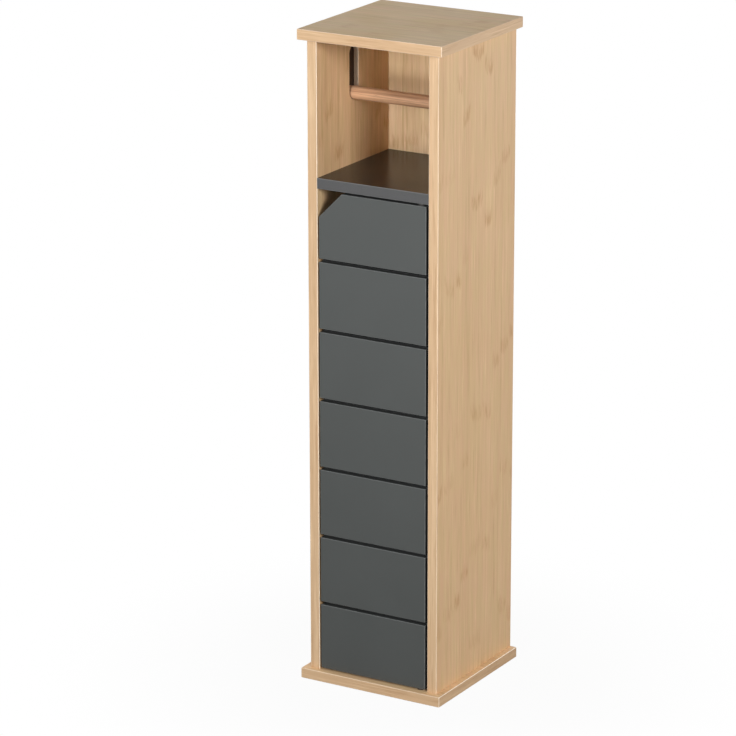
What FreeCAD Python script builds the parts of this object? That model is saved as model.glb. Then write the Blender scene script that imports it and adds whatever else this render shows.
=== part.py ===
import FreeCAD, Part
import math
import os

from FreeCAD import Placement, Rotation, Vector

# Toilet paper stand: a narrow floor cabinet of edge-banded boards. A roll hangs on a lift-out
# rod in the open bay at the top, spare rolls stand behind the grooved door below.
# Millimetres. +Z is up, +X is to the right of someone facing the door, the front faces -Y.
# The origin is on the floor, under the middle of the base.

# Outline
overall_width = 180.0
overall_depth = 180.0
overall_height = 750.0
overhang = 8.0            # top and base past the sides and past the front
bay_height = 153.0        # clear height between the shelf and the top

# Boards
base_board = 12.0
top_board = 12.0
side_board = 12.0
shelf_board = 12.0
door_board = 12.0
back_board = 3.0
back_setback = 15.0       # rear edge of the sides to the rear of the back panel
back_groove = 5.0         # depth of the groove that holds the back panel
back_play = 0.2           # round the back panel in its grooves
shelf_play = 0.2          # behind the shelf
blind_skin = 3.0          # board left behind a blind hole in its face

# Edge bands
band = 1.0
band_round = 0.8
round_share = 0.85        # most of a band's thickness that its round may take

# Roll rod and its slots
rod_diameter = 15.0
rod_height = 80.0         # axis over the shelf
rod_forward = 3.0         # axis in front of the middle of the base
rod_chamfer = 0.6
rod_end_play = 0.5        # rod end to the floor of its slot
rod_seat_play = 0.3       # under the rod at rest
slot_play = 2.5           # beside the rod in its slot
slot_depth = 6.0
slot_rise = 42.0          # straight part of the slot

# Door
door_gap_free = 2.0
door_gap_top = 2.5
door_gap_bottom = 2.0
swing_play = 1.0          # corner of the turning door to the right side panel
fascia_count = 7          # fields between the level grooves
groove_width = 4.0
groove_depth = 8.0
finger_cut = 29.0         # corner cut at the top left
door_round = 0.6

# Door pivots
pin_diameter = 5.0
pin_inset = 8.0           # door's hinge edge to the pin axis
pin_in_door = 18.0
pin_reach = 8.0           # past the door's edge
pin_end_play = 0.5
pin_chamfer = 0.5
bush_wall = 1.0
flange_lip = 1.0
upper_play = 0.5          # between the upper flange and the door
running_play = 0.05       # radial, pin in bush
press_play = 0.02         # radial, pressed pieces

# Magnetic catch
catch_inset = 22.5        # finger cut to the middle of the catch
magnet_length = 20.0
magnet_depth = 10.0
magnet_height = 6.0
pole_thickness = 1.5
pole_proud = 1.0          # poles in front of the housing
catch_wall = 2.0
catch_play = 0.2          # magnet and poles in the housing
catch_gap = 0.3           # poles to the strike plate
ear_length = 11.0
ear_thickness = 2.5
strike_length = 26.0
strike_height = 10.0
strike_thickness = 1.2
strike_margin = 1.0       # under the door's upper edge

# Small screws of the catch and of the strike plate
small_shank = 3.0
small_head = 6.0
small_head_height = 2.2
small_head_flat = 3.6     # diameter of the flat of a pan head
small_head_rim = 0.9      # straight part of a pan head
small_grip = 8.0          # in the board

# Board joints
front_setback = 27.0      # fixings from the front of the sides
rear_setback = 20.0       # fixings from the back panel
dowel_diameter = 6.0
dowel_in_edge = 20.0
dowel_chamfer = 0.8
dowel_end_play = 0.5
fixing_play = 0.05        # radial, dowels, bolts and screws in their holes
screw_shank = 4.0
screw_head = 8.0
screw_length = 42.0
screw_sink = 0.5          # head under the face
cam_diameter = 12.0
cam_skin = 2.5            # board left behind a cam
cam_reach = 22.0          # joint to the middle of the cam
bolt_thread = 5.0
bolt_shank = 4.0
bolt_neck = 3.0
bolt_head = 4.8
bolt_head_height = 3.0
bolt_hole_play = 0.3      # radial, bolt in the board edge
recess_width = 1.0        # cross recess of the screw heads and cams
recess_depth = 1.4
cut_over = 1.0            # how far a cut starts outside the piece

SIDES = (-1, 1)
RIGHT = Vector(1, 0, 0)
BACK = Vector(0, 1, 0)
UP = Vector(0, 0, 1)

# Places that follow from the sizes above
half_width = overall_width / 2
half_depth = overall_depth / 2
side_outer = half_width - overhang
side_inner = side_outer - side_board
side_middle = side_outer - side_board / 2
front_y = overhang - half_depth
rear_y = half_depth
top_under = overall_height - top_board
shelf_top = top_under - bay_height
shelf_under = shelf_top - shelf_board
shelf_middle = shelf_top - shelf_board / 2
back_rear = rear_y - back_setback
back_front = back_rear - back_board
shelf_rear = back_front - back_play - shelf_play
band_arris = min(band_round, round_share * band)

rod_radius = rod_diameter / 2
rod_y = -rod_forward
rod_z = shelf_top + rod_height
slot_radius = rod_radius + slot_play
slot_low = rod_z - rod_radius - rod_seat_play + slot_radius
slot_high = slot_low + slot_rise

pivot_y = front_y + door_board / 2
door_gap_hinge = math.hypot(pin_inset, door_board / 2) - pin_inset + swing_play
door_back = front_y + door_board
door_left = door_gap_free - side_inner
door_right = side_inner - door_gap_hinge
door_bottom = base_board + door_gap_bottom
door_top = shelf_under - door_gap_top
fascia_pitch = (door_top - door_bottom + groove_width) / fascia_count
pivot_x = door_right - pin_inset
pin_radius = pin_diameter / 2
bush_radius = pin_radius + running_play + bush_wall
flange_radius = bush_radius + flange_lip
lower_bore_end = door_bottom - pin_reach - pin_end_play
upper_bore_end = door_top + pin_reach + pin_end_play

catch_x = door_left + finger_cut + catch_inset
strike_z = door_top - strike_margin - strike_height / 2
strike_face = door_back + strike_thickness
pole_front = strike_face + catch_gap
catch_front = pole_front + pole_proud
catch_half = magnet_length / 2 + catch_play + catch_wall
catch_bottom = 2 * strike_z - shelf_under
catch_rear = catch_front + magnet_depth + catch_play + catch_wall
ear_under = shelf_under - ear_thickness
catch_screw_y = (catch_front + catch_rear) / 2
catch_screws_x = [catch_x + side * (catch_half + ear_length / 2) for side in SIDES]

fixing_front = front_y + front_setback
fixing_rear = back_front - rear_setback
fixing_middle = (fixing_front + fixing_rear) / 2
top_cam_y = (rod_y + slot_radius + fixing_rear) / 2


def box(x0, x1, y0, y1, z0, z1):
    """Box between two corners given in either order."""
    low = Vector(min(x0, x1), min(y0, y1), min(z0, z1))
    return Part.makeBox(abs(x1 - x0), abs(y1 - y0), abs(z1 - z0), low)


def cylinder(start, axis, radius, length):
    return Part.makeCylinder(radius, length, start, axis)


def turned(profile):
    """Solid turned about Z from (radius, height) points that begin and end on the axis."""
    points = [Vector(radius, 0, height) for radius, height in profile]
    outline = Part.makePolygon(points + points[:1])
    return Part.Face(outline).revolve(Vector(), UP, 360)


def placed(shape, origin, x_axis, z_axis):
    """Copy of a shape whose own X and Z axes lie along the given directions."""
    moved = shape.copy()
    moved.Placement = Placement(origin, Rotation(x_axis, z_axis.cross(x_axis), z_axis, "ZXY"))
    return moved


def rounded(shape, radius, wanted):
    """Shape with a fillet on each edge whose end points a and b pass wanted(a, b)."""
    edges = []
    for edge in shape.Edges:
        a, b = (vertex.Point for vertex in edge.Vertexes)
        if wanted(a, b):
            edges.append(edge)
    return shape.makeFillet(radius, edges)


def near(*values):
    return max(values) - min(values) < 1e-6


def pegged(diameter, length, chamfer):
    """Round peg along Z from the origin, both ends chamfered."""
    radius = diameter / 2
    return turned([
        (0, 0),
        (radius - chamfer, 0),
        (radius, chamfer),
        (radius, length - chamfer),
        (radius - chamfer, length),
        (0, length),
    ])


def cross_recess(reach):
    """Cross for a driver, down from the XY plane."""
    one = box(-reach, reach, -recess_width / 2, recess_width / 2, -recess_depth, cut_over)
    other = box(-recess_width / 2, recess_width / 2, -reach, reach, -recess_depth, cut_over)
    return one.fuse(other)


def dowel_depth(face_board):
    """How deep a dowel goes into the face of a board."""
    return face_board - blind_skin


def dowel(face_board, joint, into_face):
    """Dowel across a joint, from the edge of one board into the face of another."""
    deep = dowel_depth(face_board)
    length = deep + dowel_in_edge - 2 * dowel_end_play
    start = joint + into_face * (deep - dowel_end_play)
    across = BACK.cross(into_face)
    return placed(pegged(dowel_diameter, length, dowel_chamfer), start, across, -into_face)


def dowel_hole(face_board, joint, into_face):
    radius = dowel_diameter / 2 + fixing_play
    deep = dowel_depth(face_board)
    start = joint + into_face * deep
    return cylinder(start, -into_face, radius, deep + dowel_in_edge)


# A cam joint has its own frame: Z runs along the bolt into the face of one board, X from the
# drilled face of the other board into its thickness, the origin is on the joint.
def cam_bolt(face_board):
    thread = face_board - blind_skin - dowel_end_play
    head_end = bolt_head_height / 2 - cam_reach
    return turned([
        (0, head_end - bolt_head_height),
        (bolt_head / 2, head_end - bolt_head_height),
        (bolt_head / 2, head_end),
        (bolt_neck / 2, head_end),
        (bolt_neck / 2, head_end + bolt_head_height),
        (bolt_shank / 2, head_end + bolt_head_height),
        (bolt_shank / 2, 0),
        (bolt_thread / 2, 0),
        (bolt_thread / 2, thread),
        (0, thread),
    ])


def cam(edge_board):
    """Round cam with a mouth for the bolt head and a cross recess in its face."""
    height = edge_board - cam_skin - dowel_end_play
    start = Vector(-edge_board / 2, 0, -cam_reach)
    body = cylinder(start, RIGHT, cam_diameter / 2, height)
    mouth_radius = bolt_head / 2 + bolt_hole_play
    mouth_start = Vector(0, 0, -cam_reach - bolt_head_height / 2 - bolt_hole_play)
    mouth = cylinder(mouth_start, UP, mouth_radius, cam_diameter)
    recess = placed(cross_recess(cam_diameter / 4), start, UP, -RIGHT)
    return body.cut([mouth, recess])


def bolt_hole(face_board):
    """Hole for the bolt's thread, in the face of a board."""
    return cylinder(Vector(), UP, bolt_thread / 2 + fixing_play, face_board - blind_skin)


def cam_hole(edge_board):
    """Round pocket for the cam and the way for the bolt, in the edge of a board."""
    start = Vector(-edge_board / 2, 0, -cam_reach)
    pocket = cylinder(start, RIGHT, cam_diameter / 2 + fixing_play, edge_board - cam_skin)
    way = cylinder(Vector(0, 0, -cam_reach), UP, bolt_head / 2 + bolt_hole_play, cam_reach)
    return pocket.fuse(way)


def at_top(shape, side):
    """Place a cam joint piece between a side panel and the top."""
    joint = Vector(side * side_middle, top_cam_y, top_under)
    return placed(shape, joint, RIGHT * side, UP)


def at_shelf(shape, side):
    """Place a cam joint piece between the shelf and a side panel."""
    joint = Vector(side * side_inner, fixing_middle, shelf_middle)
    return placed(shape, joint, UP, RIGHT * side)


def top_dowel_joints(side):
    return [Vector(side * side_middle, y, top_under) for y in (fixing_front, fixing_rear)]


def base_dowel_joint(side):
    return Vector(side * side_middle, fixing_middle, base_board)


def shelf_dowel_joints(side):
    return [Vector(side * side_inner, y, shelf_middle) for y in (fixing_front, fixing_rear)]


def base_screw_places():
    """Points on the underside of the base, under the side panels."""
    return [Vector(side * side_middle, y, 0) for side in SIDES for y in (fixing_front, fixing_rear)]


def flat_screw(shank, head, length):
    """Countersunk screw up along Z, the flat of its head at the origin."""
    tip = shank
    cone = (head - shank) / 2
    body = turned([
        (0, 0),
        (head / 2, 0),
        (shank / 2, cone),
        (shank / 2, length - tip),
        (0, length),
    ])
    return body.cut(placed(cross_recess(head / 4), Vector(), RIGHT, -UP))


def flat_screw_hole(shank, head, length, sink):
    """Hole for a countersunk screw, open below the head by the depth it is sunk."""
    outer = head / 2 + fixing_play
    inner = shank / 2 + fixing_play
    return turned([
        (0, -sink),
        (outer, -sink),
        (outer, 0),
        (inner, outer - inner),
        (inner, length),
        (0, length),
    ])


def pan_screw(head_at):
    """Pan-head screw up along Z, its head under the ear of the catch."""
    shank_end = ear_thickness + small_grip
    head = small_head / 2
    body = turned([
        (0, -small_head_height),
        (small_head_flat / 2, -small_head_height),
        (head, -small_head_rim),
        (head, 0),
        (small_shank / 2, 0),
        (small_shank / 2, shank_end - small_shank),
        (0, shank_end),
    ])
    recess = placed(cross_recess(head / 2), Vector(0, 0, -small_head_height), RIGHT, -UP)
    return placed(body.cut(recess), head_at, RIGHT, UP)


def make_base_panel():
    panel = box(
        band - half_width, half_width - band, band - half_depth, half_depth - band, 0, base_board
    )
    holes = [dowel_hole(base_board, base_dowel_joint(side), -UP) for side in SIDES]
    screw_hole = flat_screw_hole(screw_shank, screw_head, screw_length, screw_sink)
    for place in base_screw_places():
        holes.append(placed(screw_hole, place + UP * screw_sink, RIGHT, UP))
    floor = lower_bore_end - bush_wall - press_play
    holes.append(
        cylinder(Vector(pivot_x, pivot_y, floor), UP, bush_radius + press_play, base_board - floor)
    )
    return panel.cut(holes)


def make_top_panel():
    panel = box(
        band - half_width,
        half_width - band,
        band - half_depth,
        half_depth - band,
        top_under,
        overall_height,
    )
    holes = []
    for side in SIDES:
        holes.extend(dowel_hole(top_board, joint, UP) for joint in top_dowel_joints(side))
        holes.append(at_top(bolt_hole(top_board), side))
    return panel.cut(holes)


def rod_slot(side):
    """Upright blind slot with round ends for one end of the rod."""
    inner = side * side_inner
    low = Vector(inner, rod_y, slot_low)
    high = Vector(inner, rod_y, slot_high)
    straight = box(
        inner,
        inner + side * slot_depth,
        rod_y - slot_radius,
        rod_y + slot_radius,
        slot_low,
        slot_high,
    )
    ends = [cylinder(centre, RIGHT * side, slot_radius, slot_depth) for centre in (low, high)]
    return straight.fuse(ends)


def make_side_panel(side):
    panel = box(
        side * side_inner,
        side * side_outer,
        front_y + band,
        rear_y - band,
        base_board,
        top_under,
    )
    cuts = [rod_slot(side)]
    cuts.append(
        box(
            side * side_inner,
            side * (side_inner + back_groove),
            back_front - back_play,
            back_rear + back_play,
            base_board,
            top_under,
        )
    )
    cuts.extend(dowel_hole(top_board, joint, UP) for joint in top_dowel_joints(side))
    cuts.extend(dowel_hole(side_board, joint, RIGHT * side) for joint in shelf_dowel_joints(side))
    cuts.append(dowel_hole(base_board, base_dowel_joint(side), -UP))
    cuts.append(at_top(cam_hole(side_board), side))
    cuts.append(at_shelf(bolt_hole(side_board), side))
    screw_hole = flat_screw_hole(screw_shank, screw_head, screw_length, screw_sink)
    for place in base_screw_places():
        cuts.append(placed(screw_hole, place + UP * screw_sink, RIGHT, UP))
    return panel.cut(cuts)


def make_back_panel():
    reach = side_inner + back_groove - back_play
    return box(-reach, reach, back_front, back_rear, base_board, top_under)


def make_middle_shelf():
    shelf = box(-side_inner, side_inner, front_y + band, shelf_rear, shelf_under, shelf_top)
    cuts = []
    for side in SIDES:
        cuts.extend(
            dowel_hole(side_board, joint, RIGHT * side) for joint in shelf_dowel_joints(side)
        )
        cuts.append(at_shelf(cam_hole(shelf_board), side))
    ceiling = upper_bore_end + bush_wall + press_play
    pivot = Vector(pivot_x, pivot_y, shelf_under)
    cuts.append(cylinder(pivot, UP, bush_radius + press_play, ceiling - shelf_under))
    for x in catch_screws_x:
        start = Vector(x, catch_screw_y, shelf_under)
        cuts.append(cylinder(start, UP, small_shank / 2 + fixing_play, small_grip + fixing_play))
    return shelf.cut(cuts)


def make_door_panel():
    door = box(door_left, door_right, front_y, door_back, door_bottom, door_top)
    corner = [
        edge
        for edge in door.Edges
        if all(near(v.X, door_left) and near(v.Z, door_top) for v in edge.Vertexes)
    ]
    door = door.makeChamfer(finger_cut, corner)
    grooves = []
    for count in range(1, fascia_count):
        groove_top = door_bottom + count * fascia_pitch
        grooves.append(
            box(
                door_left - cut_over,
                door_right + cut_over,
                front_y - cut_over,
                front_y + groove_depth,
                groove_top - groove_width,
                groove_top,
            )
        )
    door = door.cut(grooves)
    door = rounded(door, door_round, lambda a, b: near(a.y, b.y, front_y))
    door = rounded(door, door_round, lambda a, b: near(a.y, b.y, door_back))
    hole_radius = pin_radius + press_play
    depth = pin_in_door + pin_end_play
    lower = cylinder(Vector(pivot_x, pivot_y, door_bottom), UP, hole_radius, depth)
    upper = cylinder(Vector(pivot_x, pivot_y, door_top - depth), UP, hole_radius, depth)
    screw_hole = flat_screw_hole(small_shank, small_head, small_grip, 0)
    strike_hole = placed(screw_hole, Vector(catch_x, strike_face, strike_z), RIGHT, -BACK)
    return door.cut([lower, upper, strike_hole])


def make_pivot_pin(start):
    pin = pegged(pin_diameter, pin_in_door + pin_reach, pin_chamfer)
    return placed(pin, start, RIGHT, UP)


def make_lower_pin():
    return make_pivot_pin(Vector(pivot_x, pivot_y, door_bottom - pin_reach))


def make_upper_pin():
    return make_pivot_pin(Vector(pivot_x, pivot_y, door_top - pin_in_door))


def flanged_bush(seat, flange, bore_depth):
    """Closed bush down from its seat at height 0, flange above the seat."""
    closed = bore_depth + bush_wall - flange
    body = turned([
        (0, -closed),
        (bush_radius, -closed),
        (bush_radius, 0),
        (flange_radius, 0),
        (flange_radius, flange),
        (pin_radius + running_play, flange),
        (pin_radius + running_play, flange - bore_depth),
        (0, flange - bore_depth),
    ])
    return placed(body, Vector(pivot_x, pivot_y, seat[0]), RIGHT * seat[1], UP * seat[1])


def make_lower_bush():
    return flanged_bush((base_board, 1), door_gap_bottom, door_bottom - lower_bore_end)


def make_upper_bush():
    flange = door_gap_top - upper_play
    bore_depth = upper_bore_end - door_top - upper_play
    return flanged_bush((shelf_under, -1), flange, bore_depth)


def make_roll_rod():
    length = 2 * (side_inner + slot_depth - rod_end_play)
    start = Vector(-length / 2, rod_y, rod_z)
    return placed(pegged(rod_diameter, length, rod_chamfer), start, UP, RIGHT)


def cap_side_band(side, z0, z1):
    """Band on the left or right edge of the top or the base, over its full depth."""
    glued = side * (half_width - band)
    strip = box(glued, side * half_width, -half_depth, half_depth, z0, z1)
    return rounded(strip, band_arris, lambda a, b: not near(a.x, b.x, glued))


def cap_end_band(side, z0, z1):
    """Band on the front or rear edge of the top or the base, between the side bands."""
    outer = side * half_depth
    strip = box(band - half_width, half_width - band, outer, outer - side * band, z0, z1)
    return rounded(strip, band_arris, lambda a, b: near(a.y, b.y, outer) and near(a.z, b.z))


def upright_band(side, outer, inner):
    """Band on the front or rear edge of a side panel."""
    strip = box(side * side_inner, side * side_outer, outer, inner, base_board, top_under)
    return rounded(strip, band_arris, lambda a, b: near(a.y, b.y, outer) and near(a.x, b.x))


def make_shelf_band():
    strip = box(-side_inner, side_inner, front_y, front_y + band, shelf_under, shelf_top)
    return rounded(strip, band_arris, lambda a, b: near(a.y, b.y, front_y) and near(a.z, b.z))


def magnet_stack(proud, play):
    """Envelope of the magnet with its two poles, grown by play."""
    half = magnet_length / 2 + play
    tall = magnet_height / 2 + pole_thickness + play
    return box(
        catch_x - half,
        catch_x + half,
        catch_front - proud,
        catch_front + magnet_depth + play,
        strike_z - tall,
        strike_z + tall,
    )


def make_catch_housing():
    body = box(
        catch_x - catch_half,
        catch_x + catch_half,
        catch_front,
        catch_rear,
        catch_bottom,
        shelf_under,
    )
    reach = catch_half + ear_length
    ears = box(
        catch_x - reach, catch_x + reach, catch_front, catch_rear, ear_under, shelf_under
    )
    holes = [
        cylinder(
            Vector(x, catch_screw_y, ear_under),
            UP,
            small_shank / 2 + fixing_play,
            ear_thickness,
        )
        for x in catch_screws_x
    ]
    return body.fuse(ears).removeSplitter().cut([magnet_stack(cut_over, catch_play)] + holes)


def make_catch_magnet():
    half = magnet_length / 2
    tall = magnet_height / 2
    return box(
        catch_x - half,
        catch_x + half,
        catch_front,
        catch_front + magnet_depth,
        strike_z - tall,
        strike_z + tall,
    )


def make_catch_poles():
    half = magnet_length / 2
    plates = []
    for side in SIDES:
        flat = strike_z + side * magnet_height / 2
        plates.append(
            box(
                catch_x - half,
                catch_x + half,
                pole_front,
                catch_front + magnet_depth,
                flat,
                flat + side * pole_thickness,
            )
        )
    return Part.makeCompound(plates)


def make_catch_screws():
    return Part.makeCompound(
        [pan_screw(Vector(x, catch_screw_y, ear_under)) for x in catch_screws_x]
    )


def make_strike_plate():
    plate = box(
        catch_x - strike_length / 2,
        catch_x + strike_length / 2,
        door_back,
        strike_face,
        strike_z - strike_height / 2,
        strike_z + strike_height / 2,
    )
    screw_hole = flat_screw_hole(small_shank, small_head, small_grip, 0)
    return plate.cut(placed(screw_hole, Vector(catch_x, strike_face, strike_z), RIGHT, -BACK))


def make_strike_screw():
    screw = flat_screw(small_shank, small_head, small_grip)
    return placed(screw, Vector(catch_x, strike_face, strike_z), RIGHT, -BACK)


def make_base_screws():
    screw = flat_screw(screw_shank, screw_head, screw_length)
    return Part.makeCompound(
        [placed(screw, place + UP * screw_sink, RIGHT, UP) for place in base_screw_places()]
    )


def make_base_dowels():
    return Part.makeCompound([dowel(base_board, base_dowel_joint(side), -UP) for side in SIDES])


def make_top_dowels():
    dowels = []
    for side in SIDES:
        dowels.extend(dowel(top_board, joint, UP) for joint in top_dowel_joints(side))
    return Part.makeCompound(dowels)


def make_shelf_dowels():
    dowels = []
    for side in SIDES:
        dowels.extend(dowel(side_board, joint, RIGHT * side) for joint in shelf_dowel_joints(side))
    return Part.makeCompound(dowels)


def export(name, shape):
    shape.exportStep("parts/" + name + ".step")


os.makedirs("parts", exist_ok=True)

export("base_panel", make_base_panel())
export("top_panel", make_top_panel())
for cap, underside, upside in (("base", 0, base_board), ("top", top_under, overall_height)):
    export(cap + "_left_band", cap_side_band(-1, underside, upside))
    export(cap + "_right_band", cap_side_band(1, underside, upside))
    export(cap + "_front_band", cap_end_band(-1, underside, upside))
    export(cap + "_rear_band", cap_end_band(1, underside, upside))
for hand, side in (("left", -1), ("right", 1)):
    export(hand + "_side_panel", make_side_panel(side))
    export(hand + "_side_front_band", upright_band(side, front_y, front_y + band))
    export(hand + "_side_rear_band", upright_band(side, rear_y, rear_y - band))
export("back_panel", make_back_panel())
export("middle_shelf", make_middle_shelf())
export("shelf_front_band", make_shelf_band())
export("door_panel", make_door_panel())
export("roll_rod", make_roll_rod())
export("lower_pivot_pin", make_lower_pin())
export("upper_pivot_pin", make_upper_pin())
export("lower_pivot_bush", make_lower_bush())
export("upper_pivot_bush", make_upper_bush())
export("catch_housing", make_catch_housing())
export("catch_magnet", make_catch_magnet())
export("catch_pole_plates", make_catch_poles())
export("catch_screws", make_catch_screws())
export("strike_plate", make_strike_plate())
export("strike_screw", make_strike_screw())
export("base_screws", make_base_screws())
export("base_dowels", make_base_dowels())
export("top_dowels", make_top_dowels())
export("shelf_dowels", make_shelf_dowels())
export("top_cam_bolts", Part.makeCompound([at_top(cam_bolt(top_board), s) for s in SIDES]))
export("top_cams", Part.makeCompound([at_top(cam(side_board), s) for s in SIDES]))
export("shelf_cam_bolts", Part.makeCompound([at_shelf(cam_bolt(side_board), s) for s in SIDES]))
export("shelf_cams", Part.makeCompound([at_shelf(cam(shelf_board), s) for s in SIDES]))
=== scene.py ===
import math

import bmesh
import bpy
from bpy.props import FloatProperty, FloatVectorProperty, IntProperty, PointerProperty
from bpy.types import NodeSocket, Operator, Panel, PropertyGroup
from mathutils import Matrix, Vector


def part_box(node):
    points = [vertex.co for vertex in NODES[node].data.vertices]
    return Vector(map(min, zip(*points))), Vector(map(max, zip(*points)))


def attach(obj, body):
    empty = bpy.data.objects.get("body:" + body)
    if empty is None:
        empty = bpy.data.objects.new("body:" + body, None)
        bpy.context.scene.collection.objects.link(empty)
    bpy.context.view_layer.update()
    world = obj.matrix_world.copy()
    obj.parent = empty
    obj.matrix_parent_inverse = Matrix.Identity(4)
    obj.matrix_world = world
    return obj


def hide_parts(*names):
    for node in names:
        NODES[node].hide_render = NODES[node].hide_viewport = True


bl_info = {
    "name": "Roll Stand Looks",
    "version": (1, 0, 0),
    "blender": (4, 5, 0),
    "location": "View3D > Sidebar > Roll Stand",
    "description": "Finishes the boards, door, rod and fittings of a narrow toilet roll stand",
    "category": "Object",
}

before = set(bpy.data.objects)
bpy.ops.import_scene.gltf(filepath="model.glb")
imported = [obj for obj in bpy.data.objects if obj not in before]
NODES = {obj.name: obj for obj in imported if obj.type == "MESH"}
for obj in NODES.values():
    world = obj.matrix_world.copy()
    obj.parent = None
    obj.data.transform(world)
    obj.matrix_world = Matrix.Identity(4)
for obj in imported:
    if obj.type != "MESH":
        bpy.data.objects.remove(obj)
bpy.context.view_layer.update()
DOOR_LOW, DOOR_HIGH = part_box("door_panel")
ROD_LOW, ROD_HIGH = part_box("roll_rod")
SIDE_LOW, SIDE_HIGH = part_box("right_side_panel")

AXES = "XYZ"
MM = 0.001
SLACK = 0.1 * MM
NO_CAST = (1.0, 1.0, 1.0)


def tint(red, green, blue):
    """Linear colour of three display values from 0 to 255."""
    def linear(value):
        value /= 255
        return value / 12.92 if value <= 0.04045 else ((value + 0.055) / 1.055) ** 2.4
    return linear(red), linear(green), linear(blue)


def shade(base, factor):
    """Colour with each of its parts times a factor."""
    return [factor * part for part in base]


def through_cast(base, cast):
    """Colour with a tint laid over it."""
    return [part * kept for part, kept in zip(base, cast)]


def third(across, along):
    """Axis that is neither of two others."""
    return next(axis for axis in AXES if axis not in (across, along))


def colour(name, description, *display):
    """Colour property with a default given in display values."""
    return FloatVectorProperty(
        name=name, description=description, default=tint(*display),
        subtype="COLOR", size=3, min=0, max=1)


def length(name, description, default):
    """Length property in metres."""
    return FloatProperty(
        name=name, description=description, default=default, min=0, unit="LENGTH", precision=5)


def share(name, description, default):
    """Property from 0 to 1."""
    return FloatProperty(
        name=name, description=description, default=default, min=0, max=1, subtype="FACTOR")


def power(name, description, default):
    """Lamp power in watts."""
    return FloatProperty(
        name=name, description=description, default=default, min=0, unit="POWER")


class BambooSettings(PropertyGroup):
    """Printed bamboo boards, their edge bands and the board under the print"""
    light: colour("Light strips", "Palest strips of the print", 237, 202, 159)
    dark: colour("Dark strips", "Darkest strips and streaks of the print", 206, 169, 124)
    rosy: colour("Rosy strips", "Strips with a reddish cast", 226, 186, 146)
    green_cast: colour("Green cast", "Tint of the greenish fibres", 253, 255, 251)
    red_cast: colour("Red cast", "Tint of the reddish fibres", 255, 252, 254)
    top_cast: colour("Top cast", "Tint of the print on the top", 250, 255, 247)
    # Back panel's print: partly its own paler print, partly painted light lifting it for the shade inside
    # the bay
    back_light: colour("Light back", "Palest strips of the back panel, lifted as painted light", 251, 222, 182)
    back_dark: colour("Dark back", "Darkest strips of the back panel, lifted as painted light", 199, 163, 117)
    ring: colour("Growth rings", "Smudges where the culm had its rings", 172, 110, 52)
    band: colour("Edge band", "Edge bands of the boards", 224, 191, 152)
    band_dark: colour("Band streaks", "Streaks in the edge bands", 198, 161, 122)
    # Pale core of the trimmed bands, partly its own colour and partly a painted highlight: its paleness is
    # set arris by arris
    core: colour("Band core", "Trimmed arris of an edge band", 255, 240, 220)
    side_core: share("Outer arrises", "Paleness of the outer arrises of the sides' bands", 0.35)
    inner_core: share("Inner arrises", "Paleness of the inner arrises of the sides' bands", 0.75)
    corner_core: share("Corners", "Paleness of the upright corners of the top and base", 0.55)
    front_core: share("Front arrises", "Paleness of the level arrises in front", 0.4)
    top_core: share("Top arrises", "Paleness of the level arrises beside the top", 0.12)
    base_core: share("Base arrises", "Paleness of the level arrises beside the base", 0.9)
    raw: colour("Bare board", "Fibreboard where no print covers it", 228, 203, 176)
    # Painted shade: the slots' floors darker than their bare walls
    slot_floor_shade: colour("Slot floor shade", "Painted shade on the floor of the slots for the rod", 64, 45, 31)
    bare_back: colour("Bare hardboard", "Unprinted rear of the back panel", 158, 118, 78)
    strip_width: length("Strip width", "Mean width of one strip of the print", 0.021)
    ring_strength: share("Ring strength", "Darkness of the rings", 0.5)
    ring_spacing: length("Ring spacing", "Mean distance of the rings along a strip", 0.175)


class GreySettings(PropertyGroup):
    """Grey door and shelf"""
    door: colour("Door", "Lacquer on the door", 76, 79, 78)
    # Paler grey on the arrises: a painted highlight along all of them, and rubbed wear in patches on the
    # door
    pale_wear_and_highlight: colour("Door arris highlight", "Paler grey on the arrises, worn and painted as a highlight", 128, 130, 130)
    shelf: colour("Shelf", "Printed face of the shelf", 36, 36, 36)
    shelf_band: colour("Shelf edge", "Edge band of the shelf", 68, 68, 69)
    fields: IntProperty(name="Fields", description="Fields of the door between its grooves",
                        default=7, min=1, max=20)
    # Painted shade: near black in the door's grooves and on its narrow edges, where shade falls in the
    # gaps
    groove: colour("Gap shade", "Painted shade in the grooves and on the narrow edges of the door", 8, 9, 9)
    groove_width: length("Groove width", "Height of one groove of the door", 0.004)
    groove_depth: length("Groove depth", "Depth of one groove of the door", 0.008)
    finger_cut: length("Finger cut", "Corner cut at the door's upper left", 0.029)
    lip: length("Arris radius", "Rounding of the door's arrises", 0.0006)


class RodSettings(PropertyGroup):
    """Wooden rod that carries the roll"""
    light: colour("Rod wood", "Pale wood of the rod", 220, 176, 140)
    dark: colour("Rod grain", "Dark grain of the rod", 165, 122, 92)
    end_round: length("End rounding", "Rounding of the rod's ends", 0.0008)
    centre_mark: length("Centre mark", "Radius of the lathe's mark in the rod's ends", 0.0014)


class FittingSettings(PropertyGroup):
    """Screws, pins, cams, dowels, bushes and the catch"""
    steel: colour("Steel", "Zinc plated steel", 205, 204, 200)
    zinc: colour("Zinc", "Die cast cams", 176, 177, 178)
    nylon: colour("Nylon", "Bushes of the pivots", 30, 25, 21)
    plastic: colour("Catch", "Housing of the catch", 92, 60, 40)
    ferrite: colour("Magnet", "Magnet of the catch", 52, 51, 52)
    dowel: colour("Dowels", "Beech of the dowels", 222, 190, 150)


class StageSettings(PropertyGroup):
    """Floor, lamps and surroundings"""
    floor: colour("Floor", "Pale floor", 180, 180, 179)
    surround: FloatProperty(name="Surround", description="Light from all round",
                            default=0.03, min=0, max=2)
    key: power("Key lamp", "Soft lamp at the front", 12.8)
    side: power("Side lamp", "Lamp at the front right", 56.5)
    right: power("Right lamp", "Soft lamp at the right", 13)
    left: power("Left lamp", "Soft lamp at the left", 36)
    rear: power("Rear lamp", "Soft lamp behind", 32)
    low: power("Low lamp", "Soft lamp under the opening below the base", 18)


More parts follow.
